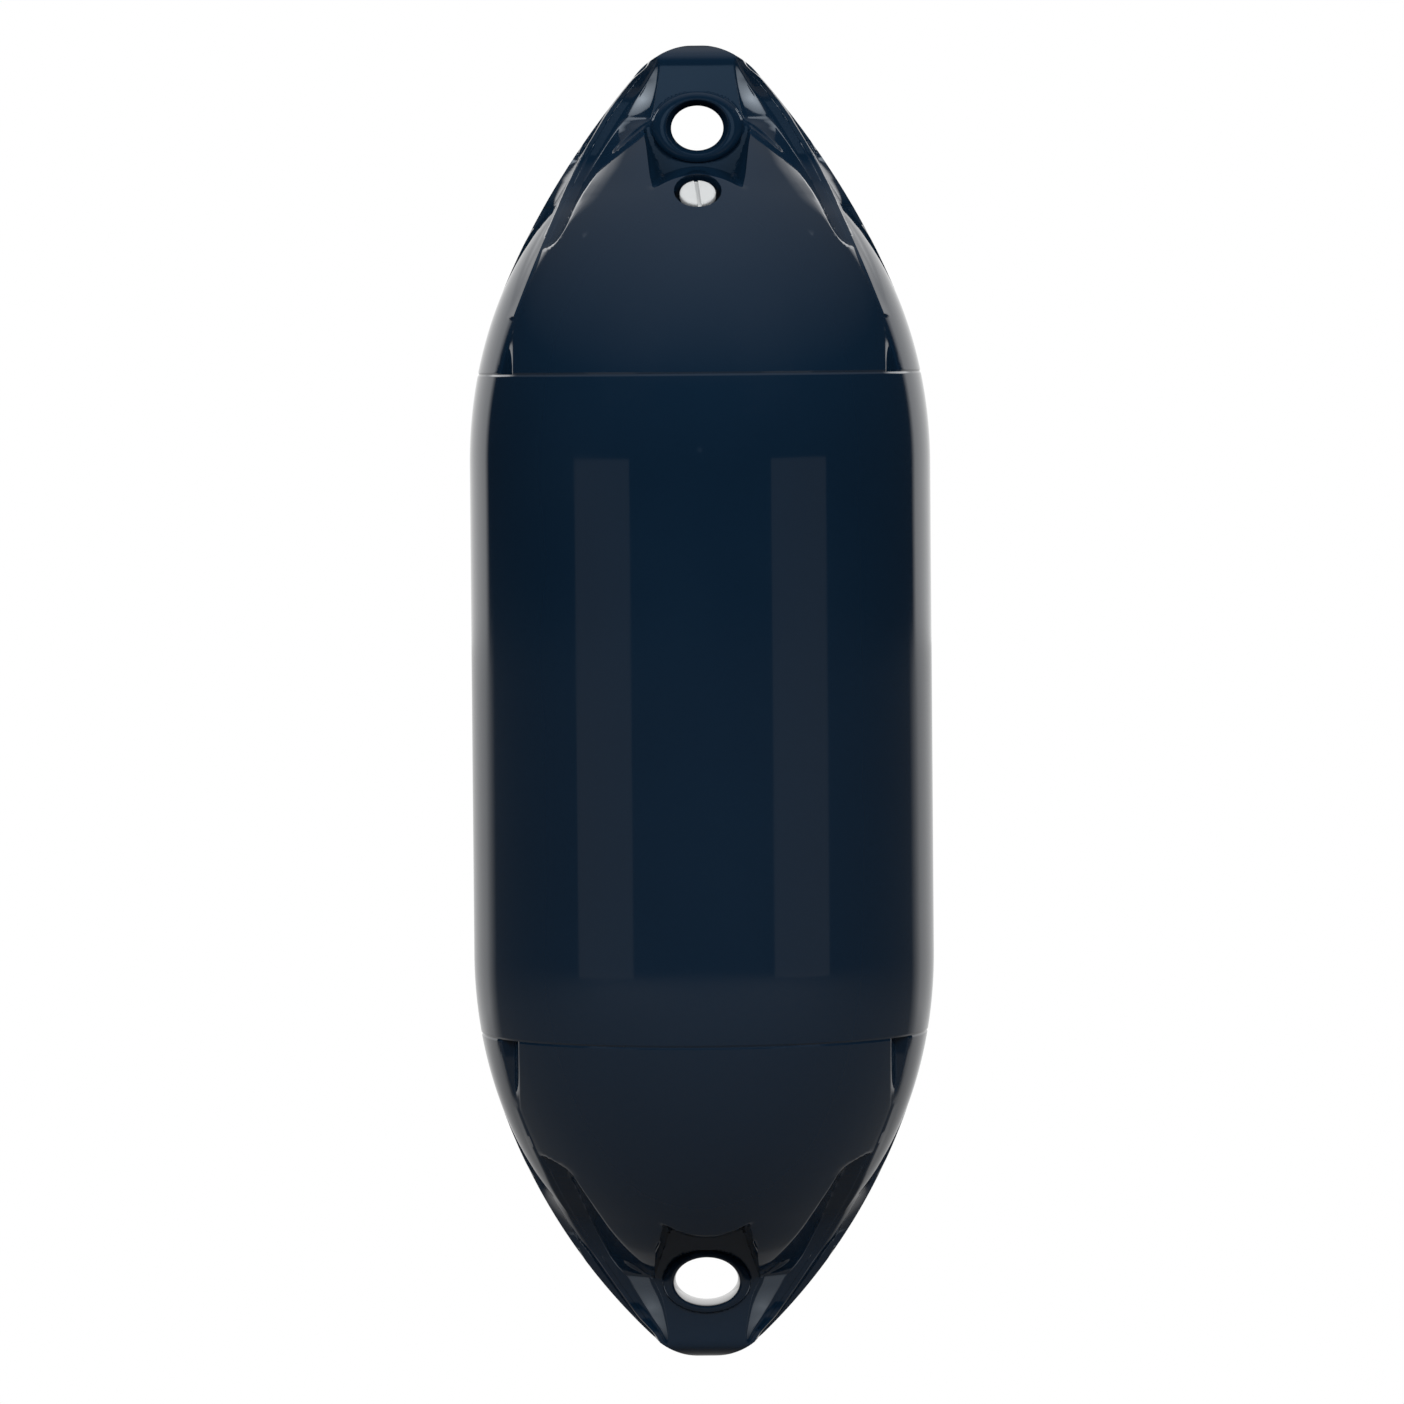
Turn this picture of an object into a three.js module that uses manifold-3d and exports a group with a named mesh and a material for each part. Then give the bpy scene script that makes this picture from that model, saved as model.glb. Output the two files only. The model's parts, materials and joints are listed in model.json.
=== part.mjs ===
// Inflatable boat fender: a moulded PVC body with a rope eye at each end, closed by a screwed air valve.
// Millimetres, +Z up. The origin is the centre of the upper eye. The two mould halves meet on the plane
// Y = 0, and the valve is on the -Y side.

import * as THREE from 'three';
import { mergeVertices } from 'three/addons/utils/BufferGeometryUtils.js';
import Module from 'manifold-3d';

const wasm = await Module();
wasm.setup();

// Body
const bodyRadius = 105;
const eyeSpacing = 525.5;
const domeLength = 149.7;
const seamStation = 149;
const seamWidth = 1.2;
const seamDepth = 0.4;

// Each end is measured by its station, the distance from its own tip towards the barrel.
const upper = {
  eyeToTip: 37.6,
  tipRadius: 36,
  tipArc: 40.5,
  poleStation: 40.6,
  noseStation: 64,
  finEnd: 116,
  eyeRadius: 10.2,
  eyeFlare: 1.9,
  eyeAspect: 1.165,
  bossRadius: 16.2,
  bossAspect: 1.284,
};
const lower = {
  eyeToTip: 35.4,
  tipRadius: 37.5,
  tipArc: 46,
  poleStation: 35.3,
  noseStation: 50,
  finEnd: 122,
  eyeRadius: 10.6,
  eyeFlare: 0.6,
  eyeAspect: 1.347,
  bossRadius: 14.4,
  bossAspect: 1.4,
};

// Parting-line fin and side webs
const finThickness = 3;
const finProud = 1;
const webThickness = 11;
const webStation = 50;
const webKnee = 70;
const webFull = 98;
const webFoot = 122.8;
const webFootWidth = 83.3;
const webFootThickness = 85;
const webStepWidth = 2.5;
const webStepHeight = 0.8;

// Eye lug: a flat tongue with sloping flanks that run down to the webs
const lugThickness = 31;
const noseLength = 7.5;
const tongueWidth = 33;
const tongueSpread = 0.26;
const landWidth = 7.2;
const flankBow = 4.5;
const bossHeight = 2;
const bossEdge = 3;

// Rope channel, cut into the dome in front of the eye on both sides
const ledgeStation = 55.5;
const ledgeDrop = 4.2;
const ledgeHalfWidth = 16.5;
const channelHalfWidth = 24.5;
const channelShoulder = 36;
const channelDraft = 6.5;

// Air valve, square to the dome
const valveStation = 66.5;
const recessRadius = 10.75;
const headDrop = 1.3;
const headRadius = 8.15;
const headThickness = 3.6;
const headEdge = 0.7;
const slotWidth = 1.8;
const slotDepth = 1.6;
const slotTurn = 6;
const shankRadius = 4;
const shankLength = 13;
const shankChamfer = 0.8;
const threadClearance = 0.35;
const sealWire = 2.4;
const insertRadius = 8;
const insertLength = 14;
const flangeRadius = 11;
const flangeThickness = 2.5;
const seatGap = 0.3;

const lathSides = 48;
const eyeSides = 28;
const valveSides = 24;

const pvc = new THREE.MeshStandardMaterial({ color: 0x101f30, roughness: 0.12, metalness: 0 });
const blackPlastic = new THREE.MeshStandardMaterial({ color: 0x17191c, roughness: 0.45, metalness: 0 });
const blackRubber = new THREE.MeshStandardMaterial({ color: 0x0e0e0f, roughness: 0.7, metalness: 0 });
const whiteNylon = new THREE.MeshStandardMaterial({ color: 0xe4e8ea, roughness: 0.35, metalness: 0 });

// How far a station lies along the dome, 0 at its bare pole and 1 where it runs into the barrel.
function domeShare(end, station) {
  return (station - end.poleStation) / domeLength;
}

// Half of the body's side outline: a quarter of an ellipse that runs out of the barrel.
function domeRadius(end, station) {
  const share = domeShare(end, station);
  return bodyRadius * Math.sqrt(share * (2 - share));
}

// How fast the dome widens at a station.
function domeSlope(end, station) {
  const share = domeShare(end, station);
  return (bodyRadius * (1 - share)) / (domeLength * Math.sqrt(share * (2 - share)));
}

// Closed geometry to solid and back.
function toSolid(geometry) {
  const bare = geometry.clone();
  bare.deleteAttribute('normal');
  bare.deleteAttribute('uv');
  const merged = mergeVertices(bare, 1e-4);
  return new wasm.Manifold(new wasm.Mesh({
    numProp: 3,
    vertProperties: new Float32Array(merged.attributes.position.array),
    triVerts: new Uint32Array(merged.index.array),
  }));
}

function toGeometry(solid) {
  const mesh = solid.getMesh();
  const geometry = new THREE.BufferGeometry();
  geometry.setAttribute('position', new THREE.BufferAttribute(mesh.vertProperties, 3));
  geometry.setIndex(new THREE.BufferAttribute(mesh.triVerts, 1));
  geometry.computeVertexNormals();
  return geometry;
}

function union(solids) {
  return solids.reduce((whole, solid) => whole.add(solid));
}

// A profile of [radius, height] pairs turned about Z.
function revolve(profile, sides) {
  const points = profile.map(([radius, height]) => new THREE.Vector2(radius, height));
  return new THREE.LatheGeometry(points, sides).rotateX(Math.PI / 2);
}

// An outline drawn in X and Z, given its full thickness across Y.
function extrudeAcrossY(shape, thickness, curveSegments) {
  const geometry = new THREE.ExtrudeGeometry(shape, { depth: thickness, bevelEnabled: false, curveSegments });
  return geometry.rotateX(Math.PI / 2).translate(0, thickness / 2, 0);
}

// An outline drawn in Y and Z, given its full width across X.
function extrudeAcrossX(shape, width, curveSegments) {
  const geometry = new THREE.ExtrudeGeometry(shape, { depth: width, bevelEnabled: false, curveSegments });
  const turn = new THREE.Matrix4().set(0, 0, 1, -width / 2, 1, 0, 0, 0, 0, 1, 0, 0, 0, 0, 0, 1);
  return geometry.applyMatrix4(turn);
}

// Volume inside a closed skin, negative where its faces point inwards.
function signedVolume(points, faces) {
  const corner = (i) => new THREE.Vector3(...points[i]);
  return faces.reduce((sum, [a, b, c]) => sum + corner(a).dot(corner(b).cross(corner(c))) / 6, 0);
}

// A closed skin through rings of points, all with the same count. The ends are capped with fans.
function loft(rings) {
  const count = rings[0].length;
  const points = rings.flat();
  const faces = [];
  for (let start = 0; start + count < points.length; start += count) {
    for (let i = 0; i < count; i += 1) {
      const a = start + i;
      const b = start + ((i + 1) % count);
      faces.push([a, b, b + count], [a, b + count, a + count]);
    }
  }
  const last = points.length - count;
  for (let i = 1; i + 1 < count; i += 1) {
    faces.push([0, i + 1, i], [last, last + i, last + i + 1]);
  }
  const outward = signedVolume(points, faces) > 0 ? faces : faces.map(([a, b, c]) => [a, c, b]);
  const geometry = new THREE.BufferGeometry();
  geometry.setAttribute('position', new THREE.Float32BufferAttribute(points.flat(), 3));
  geometry.setIndex(outward.flat());
  return geometry;
}

// Where the side web's tip arc turns into its straight flank, a tangent that ends on the dome at the knee.
function webFlank(end, inset) {
  const centre = new THREE.Vector2(0, -end.tipRadius);
  const radius = end.tipRadius - finProud - inset;
  const knee = new THREE.Vector2(domeRadius(end, webKnee) - inset, -webKnee);
  const reach = knee.clone().sub(centre);
  const angle = reach.angle() - 2 * Math.PI + Math.acos(radius / reach.length());
  return { centre, radius, knee, angle };
}

// Front outline of the side webs: tip arc, straight flanks, and a last stretch that sinks into the dome.
function webOutline(end, inset) {
  const { centre, radius, knee, angle } = webFlank(end, inset);
  const foot = webFootWidth - inset;
  const shape = new THREE.Shape();
  shape.moveTo(-foot, -webFoot);
  shape.lineTo(foot, -webFoot);
  shape.lineTo(knee.x, knee.y);
  shape.absarc(centre.x, centre.y, radius, angle, Math.PI - angle, false);
  shape.lineTo(-knee.x, knee.y);
  return shape;
}

// Side outline of the webs: thin beside the eye, swelling smoothly until they meet the dome's flanks.
function webProfile(rise) {
  const thin = webThickness / 2 + rise;
  const thick = webFootThickness / 2 + rise;
  const third = (webFull - webStation) / 3;
  const shape = new THREE.Shape();
  shape.moveTo(-thin, 0);
  shape.lineTo(-thin, -webStation);
  shape.bezierCurveTo(-thin, -webStation - third, -thick, -webFull + third, -thick, -webFull);
  shape.lineTo(-thick, -webFoot);
  shape.lineTo(thick, -webFoot);
  shape.lineTo(thick, -webFull);
  shape.bezierCurveTo(thick, -webFull + third, thin, -webStation - third, thin, -webStation);
  shape.lineTo(thin, 0);
  return shape;
}

function sideWeb(end, inset, rise) {
  const front = toSolid(extrudeAcrossY(webOutline(end, inset), 2 * bodyRadius, 14));
  const side = toSolid(extrudeAcrossX(webProfile(rise), 2 * bodyRadius, 12));
  return front.intersect(side);
}

// The fin follows the tip arc, then bows out and comes home on the dome, tangent at both ends.
function fin(end) {
  const start = THREE.MathUtils.degToRad(end.tipArc);
  const from = new THREE.Vector2(Math.cos(start), Math.sin(start)).multiplyScalar(end.tipRadius);
  from.y -= end.tipRadius;
  const to = new THREE.Vector2(domeRadius(end, end.finEnd), -end.finEnd);
  const slopeFrom = Math.tan(start);
  const slopeTo = domeSlope(end, end.finEnd);
  const gap = from.y - to.y;
  const run = (to.x - from.x - slopeTo * gap) / (slopeFrom - slopeTo);
  const middle = new THREE.Vector2(from.x + slopeFrom * run, from.y - run);
  const shape = new THREE.Shape();
  shape.moveTo(to.x, to.y);
  shape.quadraticCurveTo(middle.x, middle.y, from.x, from.y);
  shape.absarc(0, -end.tipRadius, end.tipRadius, start, Math.PI - start, false);
  shape.quadraticCurveTo(-middle.x, middle.y, -to.x, to.y);
  return toSolid(extrudeAcrossY(shape, finThickness, 14));
}

// Cross-section of the lug at a station: flat tongue on top, flanks sloping down to the webs' lands.
function lugSection(station, kneeWidth) {
  const along = Math.max(0, (station - noseLength) / (webKnee - noseLength));
  const tongue = tongueWidth / 2 + (tongueSpread / 2) * Math.max(0, station - noseLength) * (1 - along / 2);
  const straight = tongueWidth / 2 + (kneeWidth - landWidth - tongueWidth / 2) * along;
  const foot = straight + flankBow * 4 * along * (1 - along) * (1 - along / 3);
  const nose = Math.sqrt(1 - Math.max(0, 1 - station / noseLength) ** 2);
  const top = Math.max(finThickness / 4, (lugThickness / 2) * nose);
  const low = Math.min(webThickness / 2, top - finThickness / 8);
  const base = Math.max(foot, tongue + 0.5);
  return [
    [base, -low, -station], [base, low, -station], [tongue, top, -station],
    [-tongue, top, -station], [-base, low, -station], [-base, -low, -station],
    [-tongue, -top, -station], [tongue, -top, -station],
  ];
}

function lug(end) {
  const steps = 16;
  const stations = [0, 0.1, 0.25, 0.45, 0.7, 1].map((share) => share * noseLength);
  for (let k = 1; k <= steps; k += 1) stations.push(noseLength + ((webKnee - noseLength) * k) / steps);
  const kneeWidth = domeRadius(end, webKnee);
  const roof = toSolid(loft(stations.map((station) => lugSection(station, kneeWidth))));
  return roof.intersect(toSolid(extrudeAcrossY(webOutline(end, 0), lugThickness, 14)));
}

// One side of the rope channel. Its floor is the lug's face and its walls open outwards by the draft.
function ropeChannel(side) {
  const steps = 8;
  const outline = (grow) => {
    const half = ledgeHalfWidth + grow;
    const arc = [];
    for (let k = 0; k <= steps; k += 1) {
      const x = half * (1 - (2 * k) / steps);
      arc.push([x, -(ledgeStation + grow + ledgeDrop * (x / half) ** 2)]);
    }
    const wide = channelHalfWidth + grow;
    return [[wide, bossHeight], [wide, -channelShoulder], ...arc, [-wide, -channelShoulder], [-wide, bossHeight]];
  };
  const floor = lugThickness / 2;
  const open = bodyRadius;
  const grow = (open - floor) * Math.tan(THREE.MathUtils.degToRad(channelDraft));
  const bottom = outline(0).map(([x, z]) => [x, side * floor, z]);
  const mouth = outline(grow).map(([x, z]) => [x, side * open, z]);
  return toSolid(loft([bottom, mouth]));
}

// Raised ring round the eye on both faces of the lug, and the flared eye itself. Both are oval.
function aroundEye(profile, aspect, end) {
  const turned = new THREE.LatheGeometry(profile.map(([radius, y]) => new THREE.Vector2(radius, y)), eyeSides);
  return toSolid(turned.scale(aspect, 1, 1).translate(0, 0, -end.eyeToTip));
}

function eyeBoss(end) {
  const face = lugThickness / 2 + bossHeight;
  const half = [
    [end.bossRadius, lugThickness / 2 - bossHeight],
    [end.bossRadius - bossEdge * 0.13, lugThickness / 2 + bossHeight * 0.5],
    [end.bossRadius - bossEdge * 0.5, lugThickness / 2 + bossHeight * 0.87],
    [end.bossRadius - bossEdge, face],
    [0, face],
  ];
  const mirrored = half.map(([radius, y]) => [radius, -y]).reverse();
  return aroundEye([...mirrored, ...half], end.bossAspect, end);
}

function eyeHole(end) {
  const face = lugThickness / 2 + bossHeight;
  const steps = 4;
  const half = [];
  for (let k = 0; k <= steps; k += 1) {
    const share = k / steps;
    half.push([end.eyeRadius + end.eyeFlare * share ** 2.5, face * share]);
  }
  const mouth = end.eyeRadius + end.eyeFlare;
  half.push([mouth, face + bossHeight], [0, face + bossHeight]);
  const mirrored = half.slice(1).map(([radius, y]) => [radius, -y]).reverse();
  return aroundEye([...mirrored, ...half], end.eyeAspect, end);
}

// Stations and radii of one end of the turned core, from the point of its nose cone to the shoulder.
function coreProfile(end) {
  const steps = 14;
  const start = Math.asin(1 - domeShare(end, end.noseStation));
  const stations = [];
  for (let k = 0; k <= steps; k += 1) {
    stations.push(end.poleStation + domeLength * (1 - Math.sin(start * (1 - k / steps))));
  }
  const clear = stations.filter((station) => Math.abs(station - seamStation) > 2 * seamWidth);
  const seam = [seamStation - seamWidth / 2, seamStation, seamStation + seamWidth / 2];
  const point = end.noseStation - domeRadius(end, end.noseStation) / domeSlope(end, end.noseStation);
  const outline = [...clear, ...seam].sort((a, b) => a - b).map((station) => {
    const groove = station === seamStation ? seamDepth : 0;
    return [domeRadius(end, station) - groove, station];
  });
  return [[0, point], ...outline];
}

const upperTip = upper.eyeToTip;
const lowerTip = -eyeSpacing - lower.eyeToTip;

function core() {
  const high = coreProfile(upper).map(([radius, station]) => [radius, upperTip - station]);
  const low = coreProfile(lower).map(([radius, station]) => [radius, lowerTip + station]);
  return toSolid(revolve([...low, ...high.reverse()], lathSides));
}

// A piece of an end is drawn with its tip at Z = 0 and the barrel below. The lower end is turned over.
function placeEnd(geometry, end) {
  return end === upper ? geometry.translate(0, 0, upperTip) : geometry.rotateY(Math.PI).translate(0, 0, lowerTip);
}

function placedSolid(solid, end) {
  return toSolid(placeEnd(toGeometry(solid), end));
}

// The valve stands square on the dome: local Z points out of the body, and Z = 0 is on the dome.
const valvePlace = new THREE.Group();
valvePlace.position.set(0, -domeRadius(upper, valveStation), upperTip - valveStation);
valvePlace.rotation.x = Math.PI / 2 - Math.atan(domeSlope(upper, valveStation));
valvePlace.updateMatrixWorld(true);

const headTop = -headDrop;
const headFoot = headTop - headThickness;
const sealTop = headFoot - seatGap;
const sealFoot = sealTop - sealWire;
const insertTop = sealFoot - seatGap;
const insertFoot = insertTop - insertLength;

function valvePocket() {
  const clearRadius = insertRadius + seatGap;
  const clearFlange = flangeRadius + seatGap;
  const floor = insertFoot - seatGap;
  const flangeTop = insertFoot + flangeThickness + seatGap;
  return revolve([
    [0, floor], [clearFlange, floor], [clearFlange, flangeTop], [clearRadius, flangeTop],
    [clearRadius, insertTop], [recessRadius, insertTop], [recessRadius, headRadius], [0, headRadius],
  ], valveSides);
}

function valveInsert() {
  const bore = shankRadius + threadClearance;
  return revolve([
    [bore, insertFoot], [flangeRadius, insertFoot], [flangeRadius, insertFoot + flangeThickness],
    [insertRadius, insertFoot + flangeThickness], [insertRadius, insertTop], [bore, insertTop], [bore, insertFoot],
  ], valveSides);
}

function valveSeal() {
  const wire = sealWire / 2;
  const ring = shankRadius + threadClearance + wire;
  return new THREE.TorusGeometry(ring, wire, 10, valveSides).translate(0, 0, (sealTop + sealFoot) / 2);
}

function valveScrew() {
  const shankFoot = headFoot - shankLength;
  const turned = revolve([
    [0, shankFoot], [shankRadius - shankChamfer, shankFoot], [shankRadius, shankFoot + shankChamfer],
    [shankRadius, headFoot], [headRadius - headEdge / 2, headFoot], [headRadius, headFoot + headEdge / 2],
    [headRadius, headTop - headEdge], [headRadius - headEdge * 0.3, headTop - headEdge * 0.3],
    [headRadius - headEdge, headTop], [0, headTop],
  ], valveSides);
  const slot = new THREE.BoxGeometry(slotWidth, 2 * headRadius + 1, 2 * slotDepth);
  slot.rotateZ(THREE.MathUtils.degToRad(slotTurn)).translate(0, 0, headTop);
  return toGeometry(toSolid(turned).subtract(toSolid(slot)));
}

function fenderBody() {
  let body = core();
  for (const end of [upper, lower]) {
    const channels = union([ropeChannel(-1), ropeChannel(1)]);
    const swelling = union([
      sideWeb(end, 0, 0), sideWeb(end, webStepWidth, webStepHeight), fin(end), lug(end),
    ]);
    body = body.add(placedSolid(swelling, end));
    body = body.subtract(placedSolid(channels, end));
    body = body.add(placedSolid(eyeBoss(end), end));
    body = body.subtract(placedSolid(eyeHole(end), end));
  }
  const pocket = toSolid(valvePocket().applyMatrix4(valvePlace.matrixWorld));
  return toGeometry(body.subtract(pocket));
}

function named(name, geometry, material) {
  const mesh = new THREE.Mesh(geometry, material);
  mesh.name = name;
  return mesh;
}

valvePlace.add(
  named('valve_insert', valveInsert(), blackPlastic),
  named('valve_seal', valveSeal(), blackRubber),
  named('valve_screw', valveScrew(), whiteNylon),
);

const fender = new THREE.Group();
fender.add(named('fender_body', fenderBody(), pvc), valvePlace);

export default fender;
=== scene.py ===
"""Looks of the inflatable boat fender: glossy navy PVC body with moulded rope eyes, and its valve screw.

Shapes are worked out in millimetres and written to the meshes in metres. An end of the body is described by
its station s, the distance from the end's own tip towards the barrel, by x across the lugs, and by the half
thickness h(x, s) on either side of the parting plane.
"""

import json
import math

import bmesh
import bpy
import numpy as np
from mathutils import Matrix, Vector


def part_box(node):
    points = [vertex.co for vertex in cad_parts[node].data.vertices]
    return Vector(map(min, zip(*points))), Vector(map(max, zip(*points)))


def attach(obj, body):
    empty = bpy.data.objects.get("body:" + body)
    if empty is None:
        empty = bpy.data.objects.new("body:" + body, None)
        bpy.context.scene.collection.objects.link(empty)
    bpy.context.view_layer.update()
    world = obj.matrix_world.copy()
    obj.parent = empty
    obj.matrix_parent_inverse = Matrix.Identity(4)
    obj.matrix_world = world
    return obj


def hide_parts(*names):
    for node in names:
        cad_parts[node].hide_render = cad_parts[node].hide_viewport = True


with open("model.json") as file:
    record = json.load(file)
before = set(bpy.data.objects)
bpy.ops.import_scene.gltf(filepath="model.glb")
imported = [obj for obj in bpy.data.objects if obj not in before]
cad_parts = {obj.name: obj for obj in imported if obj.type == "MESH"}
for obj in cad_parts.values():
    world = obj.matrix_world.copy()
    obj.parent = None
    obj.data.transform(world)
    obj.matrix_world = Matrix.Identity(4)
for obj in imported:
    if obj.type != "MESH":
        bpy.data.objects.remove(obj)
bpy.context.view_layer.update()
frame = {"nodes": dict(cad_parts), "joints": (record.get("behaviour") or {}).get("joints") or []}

MM = 0.001
body_low, body_high = (np.array(corner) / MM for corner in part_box("fender_body"))

# Body
BODY_RADIUS = body_high[0]
DOME_LENGTH = 149.7
SEAM_STATION = 149.0
SEAM_HALF_WIDTH = 0.9
SEAM_DEPTH = 0.45

# Each end: where its tip is, which way it points, and the sizes that differ between the two. The lines run
# over the moulding from tip to barrel, as [station, half width]: the ridge where the dome and the tongue
# turn down, the foot of that flank, and the outer edge of the side web. The half thickness of the web's
# face and the width of its wall are given in the same way. Past the place where the web meets the dome,
# ridge and foot run out of the body.
UPPER = dict(
    tip=body_high[2], up=1.0, tip_radius=36.0, tip_arc=40.5, pole=40.6, nose=64.0,
    eye=37.6, eye_radius=10.2, eye_flare=1.9, eye_aspect=1.165, boss_radius=16.2, boss_aspect=1.284,
    fin_end=116.0, web_foot=122.8,
    ridge=[
        [0, 27], [8, 16.8], [24, 18.9], [33, 21], [38, 27.8], [52, 41.2], [70, 53.7], [89, 63.8], [98, 84],
    ],
    foot=[[0, 28], [8, 19.4], [16, 23.3], [34, 35.1], [61, 51.1], [89, 65.2], [98, 86]],
    web=[[0, 20], [8, 21.5], [16, 29.5], [34, 43], [61, 57.9], [80, 66.2], [123, 83.7], [140, 90]],
    face=[
        [0, 15], [8, 12.9], [25, 5.7], [50, 5.6], [62, 8.8], [70, 14], [80, 26], [90, 35], [102, 41],
        [140, 45.5],
    ],
    wall=[[0, 1], [34, 1], [61, 2.3], [79, 4.2], [107, 8]],
)
LOWER = dict(
    tip=body_low[2], up=-1.0, tip_radius=37.5, tip_arc=46.0, pole=35.3, nose=50.0,
    eye=35.4, eye_radius=10.6, eye_flare=0.6, eye_aspect=1.347, boss_radius=14.4, boss_aspect=1.4,
    fin_end=122.0, web_foot=117.0,
    ridge=[[0, 28], [8, 17.5], [26, 20], [44, 29.2], [62, 43.2], [81, 55.7], [90, 62], [100, 84]],
    foot=[[0, 29], [8, 20], [20, 27.2], [44, 43], [63, 52.2], [81, 59.5], [90, 64.3], [100, 86]],
    web=[[0, 20], [8, 22], [19, 31.2], [44, 48.7], [63, 61], [81, 70], [117, 84.6], [140, 92]],
    face=[[0, 15], [8, 12.5], [25, 5.6], [45, 5.5], [61, 10], [79, 25], [90, 33.5], [104, 39], [140, 42]],
    wall=[[0, 1.2], [44, 2.7], [81, 6.1], [99, 8]],
)

# Side webs and parting-line fin
FIN_HALF = 1.5
FIN_ROUND = 1.2
EDGE_CURVE = 16.0
WEB_STEP = 2.3
WEB_STEP_HEIGHT = 0.6
WEB_STEP_RUN = 0.25
WEB_FOOT_SLOPE = 3.0
WALL_CURVE = 1.35

# Flank between ridge and foot, and how the dome and the lug turn into each other
MIN_FLANK_WIDTH = 0.3
MIN_FLANK_SLOPE = 0.75
MIN_FLANK_DROP = 0.05
RIDGE_RISE = 6.0
SQUARE_NOSE = 0.4
SQUARE_NOSE_FADE = (44.0, 68.0)
LUG_FADE = (56.0, 66.0)

# Eye lug and rope channel
LUG_HALF = 15.5
NOSE_LENGTH = 10.0
NOSE_POWER = 2.8
BOSS_HEIGHT = 2.0
BOSS_EDGE = 3.0
BOSS_CLEAR = 2.0
WAIST_POWER = 2.5
RIM_ROUND = 0.8
LEDGE_STATION = 55.5
LEDGE_DROP = 4.2
LEDGE_HALF_WIDTH = 16.5
CHANNEL_HALF_WIDTH = 24.5
CHANNEL_SHOULDER = 36.0
CHANNEL_DRAFT = 8.8
CHANNEL_SLANT = (CHANNEL_HALF_WIDTH - LEDGE_HALF_WIDTH) / (LEDGE_STATION + LEDGE_DROP - CHANNEL_SHOULDER)

# Widths of the blends in the corners between surfaces
LUG_BLEND = 3.0
FOOT_BLEND = 1.6
RIDGE_BLEND = 1.0
WEB_BLEND = 0.8
CHANNEL_CORNER_BLEND = 1.5
CHANNEL_FLOOR_BLEND = 1.2

# Mesh of an end. The window round the eye starts WINDOW_RISE before its middle and stops at WINDOW_END. A
# reach is the largest share of the silhouette that a guide line takes, and a margin or a gap keeps it off its
# neighbour. The counts are the columns between one guide line and the next.
COLUMN_COUNTS = (26, 10, 18, 8, 2, 8, 16, 10)
WINDOW_RISE = 19.0
WINDOW_END = 54.6
WINDOW_TURN = 4.0
RIDGE_REACH = 0.80
FOOT_REACH = 0.86
WEB_REACH = 0.965
STEP_REACH = 0.9
INNER_REACH = 0.975
RIDGE_MARGIN = 0.5
CHANNEL_MARGIN = 0.6
FOOT_GAP = 0.02
RIDGE_GAP = 0.002
INNER_SHARE = 0.45
INNER_FADE = (62.0, 110.0)
ROOT_HEIGHT = 2.0
ROOT_NEAR = 0.3
ROOT_FAR = 0.05
LEDGE_BEND_RISE = (44.0, WINDOW_END)
LEDGE_BEND_FALL = (62.0, 90.0)
LEDGE_BEND_MOST = 1.6
SHARP_ANGLE = math.radians(48.0)
BARREL_SIDES = 256
VALVE_SIDES = 96
SEAL_SIDES = 72

# Air valve. Heights are measured along the axis that the joint of the screw states, from the dome outwards.
RECESS_RADIUS = 10.75
INSERT_TOP = -7.9
POCKET_RADIUS = 8.3
POCKET_DEPTH = 22.2
POCKET_MOUTH = 12.0
HEAD_TOP = -1.3
HEAD_FOOT = -4.9
HEAD_RADIUS = 8.15
HEAD_CROWN = 0.35
HEAD_EDGE = 0.8
HEAD_UNDER_EDGE = 0.4
SLOT_WIDTH = 1.8
SLOT_DEPTH = 1.6
SLOT_TURN = math.radians(6.0)
SHANK_RADIUS = 4.0
SHANK_LENGTH = 13.0
THREAD_PITCH = 2.0
THREAD_DEPTH = 0.7
SEAL_WIRE_RADIUS = 1.2
SEAL_RING_RADIUS = 5.55
SEAL_CENTRE = -6.4

# Camera, in metres
CAMERA_PLACE = Vector((0.0, -4.18, -0.096))
CAMERA_AIM = Vector((0.0, 0.0, -0.2616))
CAMERA_ROLL = math.radians(-0.48)
FRAME_WIDTH = 0.641

# Floor, in metres. Ramps are given by their start and end.
FLOOR_Z = body_low[2] * MM - 0.14
FLOOR_RADIUS = 14.0
FLOOR_GLOW = 0.75
FLOOR_FADE = (0.25, 0.75)
FLOOR_BEHIND = (0.60, 0.75)
FLOOR_FAR = (0.15, 2.2)
FLOOR_FAR_LEVELS = (0.08, 0.75)

# World, as ramps over the direction: its height, its share to the back, and its height above the brim
BACKDROP_BEHIND = (0.67, 0.73)
BACKDROP_HEIGHT = (-0.55, -0.35)
BACKDROP_TOP = (-0.02, 0.08)
BRIM_SLOPE = 1.2
BRIM_HIGH = 0.6
BRIM_LOW = 0.22
CEILING_HEIGHT = (0.3, 0.95)
CEILING_LEVEL = 0.45
ROOM_LEVEL = 0.02
PATCH_HEIGHT = (0.24, 0.34)
PATCH_TOP = (-0.06, 0.0)
PATCH_LEVEL = 2.4

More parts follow.
